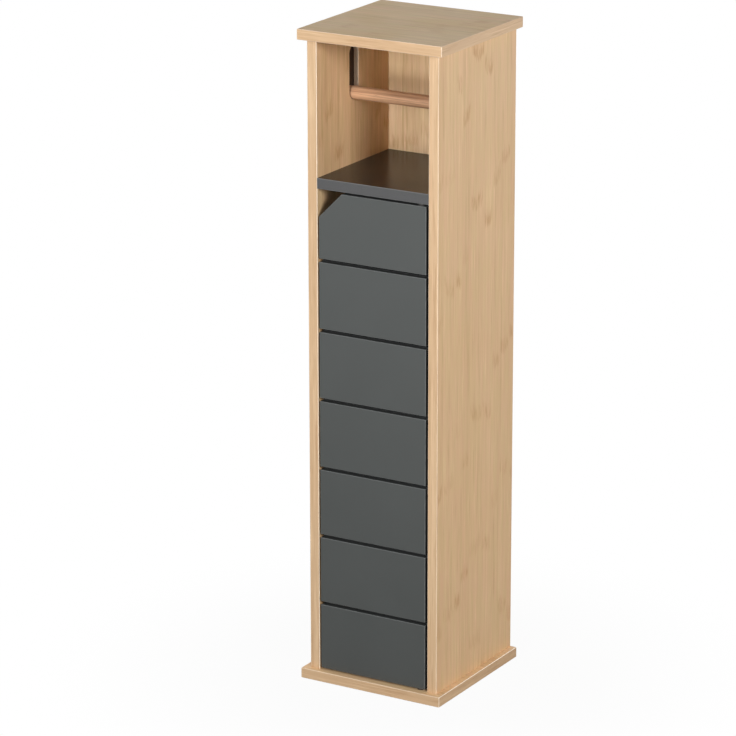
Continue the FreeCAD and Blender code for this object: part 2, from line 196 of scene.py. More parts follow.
class RollStandSettings(PropertyGroup):
    """All that a user may change"""
    bamboo: PointerProperty(name="Bamboo", description="Bamboo boards", type=BambooSettings)
    grey: PointerProperty(name="Grey", description="Door and shelf", type=GreySettings)
    rod: PointerProperty(name="Rod", description="Rod for the roll", type=RodSettings)
    fittings: PointerProperty(name="Fittings", description="Fittings", type=FittingSettings)
    stage: PointerProperty(name="Stage", description="Floor and lamps", type=StageSettings)


class Painter:
    """Adds nodes to one shader tree and joins them."""

    def __init__(self, tree):
        self.tree = tree

    def node(self, kind, feeds=None, **choices):
        """New node with its choices made and its inputs fed, by name or number."""
        made = self.tree.nodes.new("ShaderNode" + kind)
        for key, value in choices.items():
            setattr(made, key, value)
        for key, value in (feeds or {}).items():
            self.feed(made.inputs[key], value)
        return made

    def feed(self, socket, value):
        """Joins a socket to an input, or sets the input's value."""
        if isinstance(value, NodeSocket):
            self.tree.links.new(value, socket)
        elif socket.type == "RGBA":
            socket.default_value = (*value, 1.0)
        else:
            socket.default_value = value

    def sum(self, operation, *values, clamp=False):
        """One step of arithmetic."""
        feeds = dict(enumerate(values))
        return self.node("Math", feeds, operation=operation, use_clamp=clamp).outputs[0]

    def times(self, first, second):
        """Product of two values."""
        return self.sum("MULTIPLY", first, second)

    def ease(self, value, start, end, low=0.0, high=1.0):
        """Soft step from low at start to high at end."""
        feeds = {0: value, 1: start, 2: end, 3: low, 4: high}
        return self.node("MapRange", feeds, interpolation_type="SMOOTHSTEP").outputs[0]

    def level(self, value, start, end, low=0.0, high=1.0):
        """Straight step from low at start to high at end."""
        feeds = {0: value, 1: start, 2: end, 3: low, 4: high}
        return self.node("MapRange", feeds).outputs[0]

    def between(self, share, low, high):
        """Value from low to high while a share goes from 0 to 1."""
        return self.level(share, 0.0, 1.0, low, high)

    def about(self, chance, swing, middle=0.0):
        """Value within half a swing of a middle, for a chance from 0 to 1."""
        return self.sum("MULTIPLY_ADD", self.sum("SUBTRACT", chance, 0.5), swing, middle)

    def blend(self, first, second, part):
        """Part of one value and the rest of another."""
        return self.sum("MULTIPLY_ADD", first, part, self.times(second, 1 - part))

    def mix(self, factor, first, second, way="MIX"):
        """Blend of two colours."""
        feeds = {0: factor, 6: first, 7: second}
        made = self.node("Mix", feeds, data_type="RGBA", blend_type=way)
        return made.outputs[2]

    def lay(self, shown, over, mask, part):
        """Colour with a part of another laid over it inside a mask."""
        return self.mix(self.times(mask, part), shown, over)

    def mottle(self, base, factor, level):
        """Colour from a darker shade of a base up to the base, for a level from 0 to 1."""
        return self.mix(level, shade(base, factor), base)

    def noise(self, vector, stretch, detail=2.0, roughness=0.6):
        """Noise from 0 to 1, with its three scales per metre."""
        scaled = self.node("VectorMath", {0: vector, 1: stretch}, operation="MULTIPLY").outputs[0]
        feeds = {"Vector": scaled, "Scale": 1.0, "Detail": detail, "Roughness": roughness}
        return self.node("TexNoise", feeds).outputs["Fac"]

    def parts(self, vector):
        """Three parts of a vector or colour."""
        return self.node("SeparateXYZ", {0: vector}).outputs

    def bump(self, height, depth):
        """Normal of a surface whose height changes by a depth in metres."""
        return self.node("Bump", {"Height": height, "Distance": depth, "Strength": 1.0}).outputs[0]

    def grain(self, across, along, shift):
        """Object coordinates with X across the grain, Y along it and Z through the board."""
        place = self.parts(self.node("TexCoord").outputs["Object"])
        feeds = {0: place[across], 1: place[along], 2: place[third(across, along)]}
        turned = self.node("CombineXYZ", feeds).outputs[0]
        return self.node("VectorMath", {0: turned, 1: shift}, operation="ADD").outputs[0]

    def effect(self, name, **feeds):
        """Shared group of nodes, with its inputs fed."""
        tree = bpy.data.node_groups.get(name) or EFFECTS[name](name)
        made = self.node("Group", node_tree=tree)
        for key, value in feeds.items():
            self.feed(made.inputs[key.replace("_", " ").capitalize()], value)
        return made.outputs


def new_effect(name, inputs, outputs):
    """Empty shader group with named sockets, its painter, its inputs and its output node."""
    tree = bpy.data.node_groups.new(name, "ShaderNodeTree")
    kinds = {"vector": "NodeSocketVector", "value": "NodeSocketFloat"}
    for socket, kind in inputs.items():
        tree.interface.new_socket(socket, in_out="INPUT", socket_type=kinds[kind])
    for socket in outputs:
        tree.interface.new_socket(socket, in_out="OUTPUT", socket_type="NodeSocketFloat")
    painter = Painter(tree)
    given = tree.nodes.new("NodeGroupInput").outputs
    asked = tree.nodes.new("NodeGroupOutput").inputs
    return tree, painter, given, asked


# Noises of the bamboo print, in waves per metre across the grain, along it and through the board
CLOUDS = (30, 5, 26)
STREAKS = (240, 5, 180)
DASHES = (420, 10, 250)
FIBRES = (800, 16, 400)
HAIRS = (1500, 40, 900)
FADING = (150, 20, 100)
ROSINESS = (75, 7, 60)
CASTS = (120, 22, 80)
WAVERING = (280, 40, 90)
WISPS = (460, 55, 160)

# Swings of the print: of its tone from strip to strip, in clouds and in lines, and of its rosiness
STRIP_SWING = 0.16
CLOUD_SWING = 0.16
STREAK_SWING = 1.0
DASH_SWING = 1.15
FIBRE_SWING = 1.0
HAIR_SWING = 0.65
ROSY_SWING = 0.3

# Traits of the print: levels of a noise at which each starts and is full, and its least and full strength
LINE_ONSET = (0.36, 0.64, 0.15, 1.0)
ROSY_ONSET = (0.5, 0.78, 0.0, 1.0)
CAST_ONSET = (0.34, 0.66, 0.0, 1.0)
WISP_ONSET = (0.38, 0.64, 0.15, 1.0)

# Strips: unevenness of their widths, the joint between two of them, and the relief of hairs and joints
STRIP_RANDOMNESS = 0.75
JOINT_WIDTH = (0.6 * MM, 0.1 * MM)
HAIR_PART = 0.4
JOINT_RELIEF = -0.3

# Growth rings: spread of their places, slope, bow and wavering, reach before and after, least strength
STRIP_STAGGER = 7.0
SEED_STEP = 91.0
RING_SPREAD = 0.5
RING_SLOPE = 0.9
RING_BOW = 0.35
RING_WAVER = 16 * MM
RING_BEFORE = (-12 * MM, -3 * MM)
RING_AFTER = (14 * MM, 0.0)
RING_EDGE = 3 * MM
RING_FAINTEST = 0.2


def strip_cells(p, strip, **choices):
    """Strips of uneven width, numbered along a line."""
    feeds = {"W": strip, "Scale": 1.0, "Randomness": STRIP_RANDOMNESS}
    return p.node("TexVoronoi", feeds, voronoi_dimensions="1D", **choices).outputs


def growth_rings(p, vector, spacing, within, luck):
    """Bowed smudges at uneven places along each strip."""
    along = p.parts(vector)["Y"]
    course = p.sum("ADD", p.sum("DIVIDE", along, spacing), p.times(luck[2], STRIP_STAGGER))
    seed = p.node("CombineXYZ", {0: p.times(luck[0], SEED_STEP), 1: p.sum("FLOOR", course)})
    draw = p.node("TexWhiteNoise", {"Vector": seed.outputs[0]}, noise_dimensions="2D")
    chance = p.parts(draw.outputs["Color"])
    place = p.sum("SUBTRACT", p.sum("FRACT", course), p.about(chance[0], RING_SPREAD, 0.5))
    place = p.times(place, spacing)
    slope = p.times(within, p.about(chance[1], RING_SLOPE))
    bow = p.sum("MULTIPLY_ADD", p.sum("ABSOLUTE", within), -RING_BOW, slope)
    waver = p.about(p.noise(vector, WAVERING), RING_WAVER)
    place = p.sum("ADD", p.sum("ADD", place, bow), waver)
    ring = p.times(p.ease(place, *RING_BEFORE), p.ease(place, *RING_AFTER))
    wisps = p.ease(p.noise(vector, WISPS), *WISP_ONSET)
    return p.times(p.times(ring, wisps), p.between(chance[2], RING_FAINTEST, 1.0))


def bamboo_print(name):
    """Strips, streaks and growth rings of printed bamboo, X across and Y along the grain."""
    tree, p, given, asked = new_effect(
        name, {"Vector": "vector", "Strip width": "value", "Ring spacing": "value"},
        ("Tone", "Rosy", "Cast", "Ring", "Joint", "Height"))
    vector, width = given["Vector"], given["Strip width"]
    across = p.parts(vector)["X"]
    strip = p.sum("DIVIDE", across, width)
    cell = strip_cells(p, strip)
    luck = p.parts(cell["Color"])
    border = p.times(strip_cells(p, strip, feature="DISTANCE_TO_EDGE")["Distance"], width)

    fibre = p.noise(vector, FIBRES)
    hair = p.noise(vector, HAIRS)
    lines = p.about(p.noise(vector, STREAKS), STREAK_SWING)
    lines = p.about(p.noise(vector, DASHES), DASH_SWING, lines)
    lines = p.about(fibre, FIBRE_SWING, lines)
    lines = p.about(hair, HAIR_SWING, lines)
    fade = p.ease(p.noise(vector, FADING), *LINE_ONSET)
    tone = p.about(luck[0], STRIP_SWING, 0.5)
    tone = p.about(p.noise(vector, CLOUDS, 1.0, 0.5), CLOUD_SWING, tone)
    p.feed(asked["Tone"], p.sum("MULTIPLY_ADD", lines, fade, tone, clamp=True))

    rosy = p.sum("ADD", p.noise(vector, ROSINESS, 1.0, 0.5), p.about(luck[1], ROSY_SWING))
    p.feed(asked["Rosy"], p.ease(rosy, *ROSY_ONSET))
    p.feed(asked["Cast"], p.ease(p.noise(vector, CASTS), *CAST_ONSET))

    within = p.sum("SUBTRACT", across, p.times(cell["W"], width))
    ring = growth_rings(p, vector, given["Ring spacing"], within, luck)
    p.feed(asked["Ring"], p.times(ring, p.ease(border, 0.0, RING_EDGE)))

    joint = p.ease(border, *JOINT_WIDTH)
    p.feed(asked["Joint"], joint)
    height = p.blend(hair, fibre, HAIR_PART)
    p.feed(asked["Height"], p.sum("MULTIPLY_ADD", joint, JOINT_RELIEF, height))
    return tree


# Noises of the other finishes, in waves per metre
RUBBING = (160, 160, 160)
CLUMPS = (240, 240, 240)
SPECKS = (1700, 1700, 1700)
SMEARS = (14, 14, 14)
GRIT = (1500, 1500, 1500)
PEEL = (330, 330, 330)
SPRAY = (2600, 2600, 2600)
FLOW = (30, 30, 9)
BROAD_GRAIN = (420, 4, 420)
FINE_GRAIN = (800, 12, 800)
PORES = (1500, 60, 1500)
DULLNESS = (260, 260, 260)
SCRATCHES = (5200, 600, 5200)
FLECKS = (9, 9, 9)

# Levels of these noises at which a trait starts and is full
RUBBING_ONSET = (0.36, 0.6)
SMEAR_ONSET = (0.3, 0.7)
GRAIN_ONSET = (0.36, 0.64)
PORE_ONSET = (0.6, 0.72)

# Parts of specks, spray and fine grain in a tone or a relief, and the relief of the pores
SPECK_PART = 0.55
SPRAY_PART = 0.35
FINE_PART = 0.45
PORE_RELIEF = -0.7

# Largest part of a normal on a flat face, and where an arris has turned well away from it
ARRIS_FLAT = 0.995
ARRIS_TURNED = 0.93


def arris(name):
    """Rounded arrises of a squared piece, broken up a little, from the way they face."""
    tree, p, given, asked = new_effect(name, {"Vector": "vector"}, ("Mask", "Wear"))
    facing = p.parts(p.node("TexCoord").outputs["Normal"])
    sizes = [p.sum("ABSOLUTE", part) for part in facing]
    most = p.sum("MAXIMUM", p.sum("MAXIMUM", sizes[0], sizes[1]), sizes[2])
    mask = p.ease(most, ARRIS_FLAT, ARRIS_TURNED)
    p.feed(asked["Mask"], mask)
    rubbed = p.noise(given["Vector"], RUBBING, 3.0, 0.65)
    p.feed(asked["Wear"], p.times(mask, p.ease(rubbed, *RUBBING_ONSET)))
    return tree


def fibreboard(name):
    """Pressed fibres of bare board."""
    tree, p, given, asked = new_effect(name, {"Vector": "vector"}, ("Tone", "Height"))
    vector = given["Vector"]
    clump = p.noise(vector, CLUMPS, 3.0, 0.65)
    speck = p.noise(vector, SPECKS, roughness=0.7)
    p.feed(asked["Tone"], p.blend(speck, clump, SPECK_PART))
    p.feed(asked["Height"], speck)
    return tree


def handling(name):
    """Faint cloudy marks that hands and dust leave in a gloss."""
    tree, p, given, asked = new_effect(name, {"Vector": "vector"}, ("Cloud", "Grit"))
    vector = given["Vector"]
    p.feed(asked["Cloud"], p.ease(p.noise(vector, SMEARS, 3.0, 0.55), *SMEAR_ONSET))
    p.feed(asked["Grit"], p.noise(vector, GRIT, 1.0, 0.5))
    return tree


def lacquer(name):
    """Orange peel and fine grit of a sprayed satin lacquer."""
    tree, p, given, asked = new_effect(name, {"Vector": "vector"}, ("Peel", "Flow"))
    vector = given["Vector"]
    peel = p.noise(vector, PEEL, roughness=0.5)
    spray = p.noise(vector, SPRAY, 1.0, 0.5)
    p.feed(asked["Peel"], p.blend(spray, peel, SPRAY_PART))
    p.feed(asked["Flow"], p.noise(vector, FLOW, roughness=0.5))
    return tree


def turned_wood(name):
    """Long grain and pores of solid wood, X across, Y along the grain."""
    tree, p, given, asked = new_effect(name, {"Vector": "vector"}, ("Tone", "Pore", "Height"))
    vector = given["Vector"]
    broad = p.noise(vector, BROAD_GRAIN)
    fine = p.noise(vector, FINE_GRAIN, 3.0, 0.65)
    p.feed(asked["Tone"], p.ease(p.blend(fine, broad, FINE_PART), *GRAIN_ONSET))
    pore = p.ease(p.noise(vector, PORES), *PORE_ONSET)
    p.feed(asked["Pore"], pore)
    p.feed(asked["Height"], p.sum("MULTIPLY_ADD", pore, PORE_RELIEF, fine))
    return tree


def worked_metal(name):
    """Fine scratches and dull patches of plated metal."""
    tree, p, given, asked = new_effect(name, {"Vector": "vector"}, ("Dull", "Scratch"))
    vector = given["Vector"]
    p.feed(asked["Dull"], p.noise(vector, DULLNESS, detail=3.0))
    p.feed(asked["Scratch"], p.noise(vector, SCRATCHES))
    return tree


EFFECTS = {
    "Bamboo Print": bamboo_print,
    "Arris": arris,
    "Fibreboard": fibreboard,
    "Handling": handling,
    "Lacquer": lacquer,
    "Turned Wood": turned_wood,
    "Worked Metal": worked_metal,
}


def empty_tree(owner):
    """Painter for the emptied shader tree of a material or a world."""
    owner.use_nodes = True
    owner.node_tree.nodes.clear()
    return Painter(owner.node_tree)


def new_material(name):
    """Material with one Principled shader, and its painter and shader inputs."""
    material = bpy.data.materials.new(name)
    painter = empty_tree(material)
    shader = painter.node("BsdfPrincipled")
    painter.node("OutputMaterial", {"Surface": shader.outputs[0]})
    return material, painter, shader.inputs


# Least and greatest roughness of a finish, its gloss, and the height of its relief
BOARD_ROUGHNESS = (0.4, 0.5)
BAND_ROUGHNESS = (0.36, 0.46)
HARDBOARD_ROUGHNESS = (0.46, 0.82)
LACQUER_ROUGHNESS = (0.36, 0.42)
BOARD_GLOSS = 0.3
LACQUER_GLOSS = 0.45
WOOD_GLOSS = 0.3
BOARD_RELIEF = 0.03 * MM
BAND_RELIEF = 0.02 * MM
HARDBOARD_RELIEF = 0.04 * MM
GREY_RELIEF = 0.003 * MM
LACQUER_RELIEF = 0.02 * MM
WOOD_RELIEF = 0.05 * MM
METAL_RELIEF = 0.008 * MM

# Roughness added in cuts, on worn arrises, in the door's painted shade, and in the dull places of the
# others
BARE_ROUGHER = 0.4
WORN_ROUGHER = 0.12
GAP_SHADE_ROUGHER = 0.55
GREY_ROUGHER = 0.03
WOOD_ROUGHER = 0.1
METAL_ROUGHER = 0.14
SKIN_ROUGHER = 0.1

# Shades of the darker places of a finish
BARE_SHADE = 0.7
HARDBOARD_SHADE = 0.72
STAIN_SHADE = 0.6
GREY_SHADE = 0.93
DOOR_SHADE = 0.94
PORE_SHADE = 0.6
METAL_SHADE = 0.72
SKIN_SHADE = 0.84
FLOOR_SHADE = 0.97

# Parts of one colour laid over another
ROSY_PART = 0.5
JOINT_PART = 0.22
BAND_ROSY_PART = 0.3
STAIN_PART = 0.3
PEARL_PART = 0.16
GREY_HIGHLIGHT_PART = 0.6
DOOR_HIGHLIGHT_PART = 0.4
DOOR_WEAR_PART = 0.35
PORE_PART = 0.55
METAL_WEAR_PART = 0.3
SKIN_WEAR_PART = 0.5

# Paler colour of a moulding's worn arrises, from its own
WORN_FACTOR = 1.25
WORN_LIFT = 0.02

# Levels between which a tone or a noise is used
BAND_TONES = (0.27, 0.73)
GRIT_RANGE = (0.3, 0.7)
DULL_RANGE = (0.2, 0.8)

# Parts of a normal between which a face counts as a cut's floor, a level arris, or the rear
FLOOR_FACING = (0.6, 0.9)
LEVEL_FACING = (0.1, 0.3)
REAR_FACING = (0.3, 0.7)

# Relief of bare board and of the press's screen against that of the print, and the screen's pitch
BARE_HEIGHT = 4.0
SCREEN_HEIGHT = 1.5
SCREEN_PITCH = 1.6 * MM


def print_colour(p, s, vector, dark, light, contrast):
    """Colour and height of the bamboo print."""
    printed = p.effect("Bamboo Print", vector=vector, strip_width=s.strip_width,
                       ring_spacing=s.ring_spacing)
    tone = p.level(printed["Tone"], 0.5 - 0.5 / contrast, 0.5 + 0.5 / contrast)
    shown = p.mix(tone, dark, light)
    shown = p.lay(shown, s.rosy, printed["Rosy"], ROSY_PART)
    shown = p.mix(1.0, shown, p.mix(printed["Cast"], s.green_cast, s.red_cast), "MULTIPLY")
    shown = p.lay(shown, s.ring, printed["Ring"], s.ring_strength)
    shown = p.lay(shown, dark, printed["Joint"], JOINT_PART)
    return shown, printed["Height"]


def bamboo_board(name, s, across, along, shift, contrast, low, high, cast):
    """Print on both faces of a board between two corners, bare fibreboard in its cuts."""
    material, p, shader = new_material(name)
    axis = AXES.index(third(across, along))
    half = (high[axis] - low[axis]) / 2
    vector = p.grain(across, along, shift)
    shown, height = print_colour(
        p, s, vector, through_cast(s.dark, cast), through_cast(s.light, cast), contrast)

    place = p.node("TexCoord").outputs
    depth = p.sum("SUBTRACT", p.parts(place["Object"])[axis], low[axis] + half)
    inside = p.sum("LESS_THAN", p.sum("ABSOLUTE", depth), half - 3 * SLACK)
    fibres = p.effect("Fibreboard", vector=place["Object"])
    bare = p.mottle(s.raw, BARE_SHADE, fibres["Tone"])
    facing = p.sum("ABSOLUTE", p.parts(place["Normal"])[axis])
    # Painted shade on the cut faces that face along the board's thickness, the floors of the rod's slots
    bare = p.mix(p.ease(facing, *FLOOR_FACING), bare, s.slot_floor_shade)
    p.feed(shader["Base Color"], p.mix(inside, shown, bare))

    marks = p.effect("Handling", vector=place["Object"])
    rough = p.between(marks["Cloud"], *BOARD_ROUGHNESS)
    p.feed(shader["Roughness"], p.sum("MULTIPLY_ADD", inside, BARE_ROUGHER, rough))
    shader["Specular IOR Level"].default_value = BOARD_GLOSS
    height = p.sum("MULTIPLY_ADD", inside, p.times(fibres["Height"], BARE_HEIGHT), height)
    p.feed(shader["Normal"], p.bump(height, BOARD_RELIEF))
    return material


def bamboo_band(name, s, across, along, shift, upright_core, level_core, inner_core=None):
    """Edge band in the board's tone, with its pale core on the trimmed arrises, made paler on some arrises
    than others as a painted highlight.
    """
    material, p, shader = new_material(name)
    vector = p.grain(across, along, shift)
    printed = p.effect("Bamboo Print", vector=vector, strip_width=s.strip_width,
                       ring_spacing=s.ring_spacing)
    shown = p.mix(p.level(printed["Tone"], *BAND_TONES), s.band_dark, s.band)
    shown = p.lay(shown, s.rosy, printed["Rosy"], BAND_ROSY_PART)
    place = p.node("TexCoord").outputs
    edges = p.effect("Arris", vector=place["Object"])
    if inner_core is not None:
        outward = p.sum("ABSOLUTE", p.parts(place["Object"])["X"])
        middle_x = (SIDE_LOW.x + SIDE_HIGH.x) / 2
        upright_core = p.level(outward, middle_x - MM, middle_x + MM, inner_core, upright_core)
    # Paleness of the core for each arris, partly a painted highlight
    tipped = p.ease(p.sum("ABSOLUTE", p.parts(place["Normal"])["Z"]), *LEVEL_FACING)
    pale = p.between(tipped, upright_core, level_core)
    p.feed(shader["Base Color"], p.lay(shown, s.core, edges["Mask"], pale))
    marks = p.effect("Handling", vector=place["Object"])
    rough = p.between(marks["Cloud"], *BAND_ROUGHNESS)
    p.feed(shader["Roughness"], p.sum("MULTIPLY_ADD", edges["Wear"], WORN_ROUGHER, rough))
    p.feed(shader["Normal"], p.bump(printed["Height"], BAND_RELIEF))
    return material


def printed_hardboard(name, s, shift):
    """Back panel: print on its front, bare hardboard with a woven press mark behind."""
    material, p, shader = new_material(name)
    vector = p.grain("X", "Z", shift)
    # The back panel's colours are lifted as painted light for the shade inside the bay
    shown, height = print_colour(p, s, vector, s.back_dark, s.back_light, 1.0)
    place = p.node("TexCoord").outputs
    fibres = p.effect("Fibreboard", vector=place["Object"])
    bare = p.mottle(s.bare_back, HARDBOARD_SHADE, fibres["Tone"])
    marks = p.effect("Handling", vector=place["Object"])
    bare = p.lay(bare, shade(s.bare_back, STAIN_SHADE), marks["Cloud"], STAIN_PART)
    rear = p.ease(p.parts(place["Normal"])["Y"], *REAR_FACING)
    p.feed(shader["Base Color"], p.mix(rear, shown, bare))
    p.feed(shader["Roughness"], p.between(rear, *HARDBOARD_ROUGHNESS))
    across, _, up = p.parts(place["Object"])
    wires = [p.sum("SINE", p.times(part, 2 * math.pi / SCREEN_PITCH)) for part in (across, up)]
    mesh = p.times(p.times(wires[0], wires[1]), rear)
    height = p.sum("MULTIPLY_ADD", mesh, SCREEN_HEIGHT, height)
    p.feed(shader["Normal"], p.bump(height, HARDBOARD_RELIEF))
    return material


def grey_face(name, base, edge, roughness, gloss, shift):
    """Printed grey board or its edge band, with a fine pearl and arrises lightened as a painted highlight.
    """
    material, p, shader = new_material(name)
    place = p.node("TexCoord").outputs["Object"]
    moved = p.node("VectorMath", {0: place, 1: shift}, operation="ADD").outputs[0]
    marks = p.effect("Handling", vector=moved)
    edges = p.effect("Arris", vector=moved)
    shown = p.mottle(base, GREY_SHADE, marks["Cloud"])
    shown = p.mix(p.level(marks["Grit"], *GRIT_RANGE, 0.0, PEARL_PART), shown, edge)
    # Painted highlight: every arris laid over with the paler colour
    p.feed(shader["Base Color"], p.lay(shown, edge, edges["Mask"], GREY_HIGHLIGHT_PART))
    p.feed(shader["Roughness"], p.between(marks["Cloud"], roughness, roughness + GREY_ROUGHER))
    shader["Specular IOR Level"].default_value = gloss
    p.feed(shader["Normal"], p.bump(marks["Grit"], GREY_RELIEF))
    return material


# Painted shade in the door's grooves and on its narrow edges: where it sets in behind the door's face, and
# how much of it a face gets for its facing
SHADE_FROM = 0.8 * MM
SHADE_FULL = 2.5 * MM
UPWARD_SHADE = (0.8, 0.4, 0.5, 1.0)
NARROW_SHADE = (0.9, 0.99, 0.0, 0.6)


def door_lacquer(name, s):
    """Satin lacquer on the door, paler on its arrises as a painted highlight and in patches of wear, with
    painted shade in its grooves and on its narrow edges.
    """
    material, p, shader = new_material(name)
    place = p.node("TexCoord").outputs["Object"]
    coat = p.effect("Lacquer", vector=place)
    marks = p.effect("Handling", vector=place)
    edges = p.effect("Arris", vector=place)
    shown = p.mottle(s.door, DOOR_SHADE, coat["Flow"])
    # Paler arrises: a painted highlight along all of them, and rubbed wear in patches
    rubbed = p.times(edges["Mask"], DOOR_HIGHLIGHT_PART)
    rubbed = p.sum("MULTIPLY_ADD", edges["Wear"], DOOR_WEAR_PART, rubbed)
    shown = p.mix(rubbed, shown, s.pale_wear_and_highlight)
    _, depth, height = p.parts(place)
    pitch = (DOOR_HIGH.z - DOOR_LOW.z + s.groove_width) / s.fields
    risen = p.sum("FLOORED_MODULO", p.sum("SUBTRACT", height, DOOR_LOW.z), pitch)
    level = p.sum("GREATER_THAN", risen, pitch - s.groove_width - SLACK)
    deep = p.ease(depth, DOOR_LOW.y + SHADE_FROM, DOOR_LOW.y + SHADE_FULL)
    near = p.sum("LESS_THAN", depth, DOOR_LOW.y + s.groove_depth + 2 * SLACK)
    facing = p.parts(p.node("TexCoord").outputs["Normal"])
    # Painted shade: dark in the grooves, half as dark on their upward faces, and dark on the door's narrow
    # edges
    gap_shade = p.times(p.times(level, near), p.times(deep, p.ease(facing["Z"], *UPWARD_SHADE)))
    narrow = p.sum("MAXIMUM", p.sum("ABSOLUTE", facing["X"]), p.sum("ABSOLUTE", facing["Z"]))
    narrow = p.times(p.ease(narrow, *NARROW_SHADE), p.sum("SUBTRACT", 1.0, level))
    gap_shade = p.sum("MAXIMUM", gap_shade, narrow)
    p.feed(shader["Base Color"], p.mix(gap_shade, shown, s.groove))
    rough = p.between(marks["Cloud"], *LACQUER_ROUGHNESS)
    p.feed(shader["Roughness"], p.sum("MULTIPLY_ADD", gap_shade, GAP_SHADE_ROUGHER, rough))
    shader["Specular IOR Level"].default_value = LACQUER_GLOSS
    p.feed(shader["Normal"], p.bump(coat["Peel"], LACQUER_RELIEF))
    return material


def solid_wood(name, light, dark, across, along, shift, roughness):
    """Oiled solid wood with its grain lengthwise."""
    material, p, shader = new_material(name)
    vector = p.grain(across, along, shift)
    wood = p.effect("Turned Wood", vector=vector)
    shown = p.mix(wood["Tone"], dark, light)
    p.feed(shader["Base Color"], p.lay(shown, shade(dark, PORE_SHADE), wood["Pore"], PORE_PART))
    p.feed(shader["Roughness"], p.between(wood["Tone"], roughness + WOOD_ROUGHER, roughness))
    shader["Specular IOR Level"].default_value = WOOD_GLOSS
    p.feed(shader["Normal"], p.bump(wood["Height"], WOOD_RELIEF))
    return material


def metal(name, base, roughness):
    """Plated or cast metal."""
    material, p, shader = new_material(name)
    place = p.node("TexCoord").outputs["Object"]
    worked = p.effect("Worked Metal", vector=place)
    edges = p.effect("Arris", vector=place)
    shown = p.mottle(base, METAL_SHADE, worked["Dull"])
    p.feed(shader["Base Color"], p.lay(shown, base, edges["Wear"], METAL_WEAR_PART))
    shader["Metallic"].default_value = 1.0
    rough = p.level(worked["Dull"], *DULL_RANGE, roughness + METAL_ROUGHER, roughness)
    p.feed(shader["Roughness"], rough)
    p.feed(shader["Normal"], p.bump(worked["Scratch"], METAL_RELIEF))
    return material


def moulding(name, base, roughness, depth):
    """Moulded or sintered piece with a fine skin."""
    material, p, shader = new_material(name)
    place = p.node("TexCoord").outputs["Object"]
    skin = p.effect("Fibreboard", vector=place)
    edges = p.effect("Arris", vector=place)
    pale = [min(1.0, WORN_FACTOR * part + WORN_LIFT) for part in base]
    shown = p.mottle(base, SKIN_SHADE, skin["Tone"])
    p.feed(shader["Base Color"], p.lay(shown, pale, edges["Wear"], SKIN_WEAR_PART))
    rough = p.level(skin["Tone"], *DULL_RANGE, roughness + SKIN_ROUGHER, roughness)
    p.feed(shader["Roughness"], rough)
    p.feed(shader["Normal"], p.bump(skin["Height"], depth))
    return material


def finish(material, *names):
    """Gives CAD nodes a material."""
    for name in names:
        slots = NODES[name].material_slots
        if not slots:
            raise RuntimeError(f"{name} has no material slot")
        for slot in slots:
            slot.material = material


def deselect():
    """Nothing selected, in object mode."""
    bpy.ops.object.select_all(action="DESELECT")


def select(kind, test):
    """Selects the faces or edges of the mesh in edit mode that pass a test."""
    bpy.ops.mesh.select_mode(type=kind)
    bpy.ops.mesh.select_all(action="DESELECT")
    mesh = bmesh.from_edit_mesh(bpy.context.object.data)
    found = [part for part in (mesh.faces if kind == "FACE" else mesh.edges) if test(part)]
    if not found:
        raise RuntimeError(f"no {kind.lower()} of {bpy.context.object.name} passes the test")
    for part in found:
        part.select_set(True)
    mesh.select_flush_mode()
    bmesh.update_edit_mesh(bpy.context.object.data)


def cut(point, normal, **choices):
    """Divides the whole mesh in edit mode at a plane."""
    bpy.ops.mesh.select_all(action="SELECT")
    bpy.ops.mesh.bisect(plane_co=point, plane_no=normal, **choices)


def middle(edge):
    """Middle of an edge."""
    return (edge.verts[0].co + edge.verts[1].co) / 2


SHARP_ANGLE = math.radians(40)


def round_edges(piece, width, segments):
    """Rounds the sharp edges and keeps the flats flat."""
    bpy.ops.object.shade_smooth()
    bevel = piece.modifiers.new("Arrises", "BEVEL")
    bevel.width = width
    bevel.segments = segments
    bevel.limit_method = "ANGLE"
    bevel.angle_limit = SHARP_ANGLE
    bevel.harden_normals = True
    bpy.ops.object.modifier_apply(modifier=bevel.name)


class ROLLSTAND_OT_boards(Operator):
    """Prints bamboo on the top, base, sides and back"""
    bl_idname = "roll_stand.boards"
    bl_label = "Bamboo boards"

    # Board, axes across and along the grain, place in the endless print, contrast of the print
    BOARDS = (
        ("top_panel", "Y", "X", (0.031, 0.412, 0.0), 1.35),
        ("base_panel", "Y", "X", (0.213, 0.077, 0.0), 1.35),
        ("left_side_panel", "Y", "Z", (0.755, 0.513, 0.0), 1.7),
        ("right_side_panel", "Y", "Z", (0.109, 0.37, 0.0), 1.05),
    )
    BACK_SHIFT = (0.3, 0.21, 0.0)

    def execute(self, context):
        s = context.scene.roll_stand.bamboo
        casts = {"top_panel": s.top_cast}
        for name, across, along, shift, contrast in self.BOARDS:
            cast = casts.get(name, NO_CAST)
            board = bamboo_board(
                f"Bamboo print {name}", s, across, along, shift, contrast, *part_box(name), cast)
            finish(board, name)
        finish(printed_hardboard("Printed hardboard", s, self.BACK_SHIFT), "back_panel")
        return {"FINISHED"}


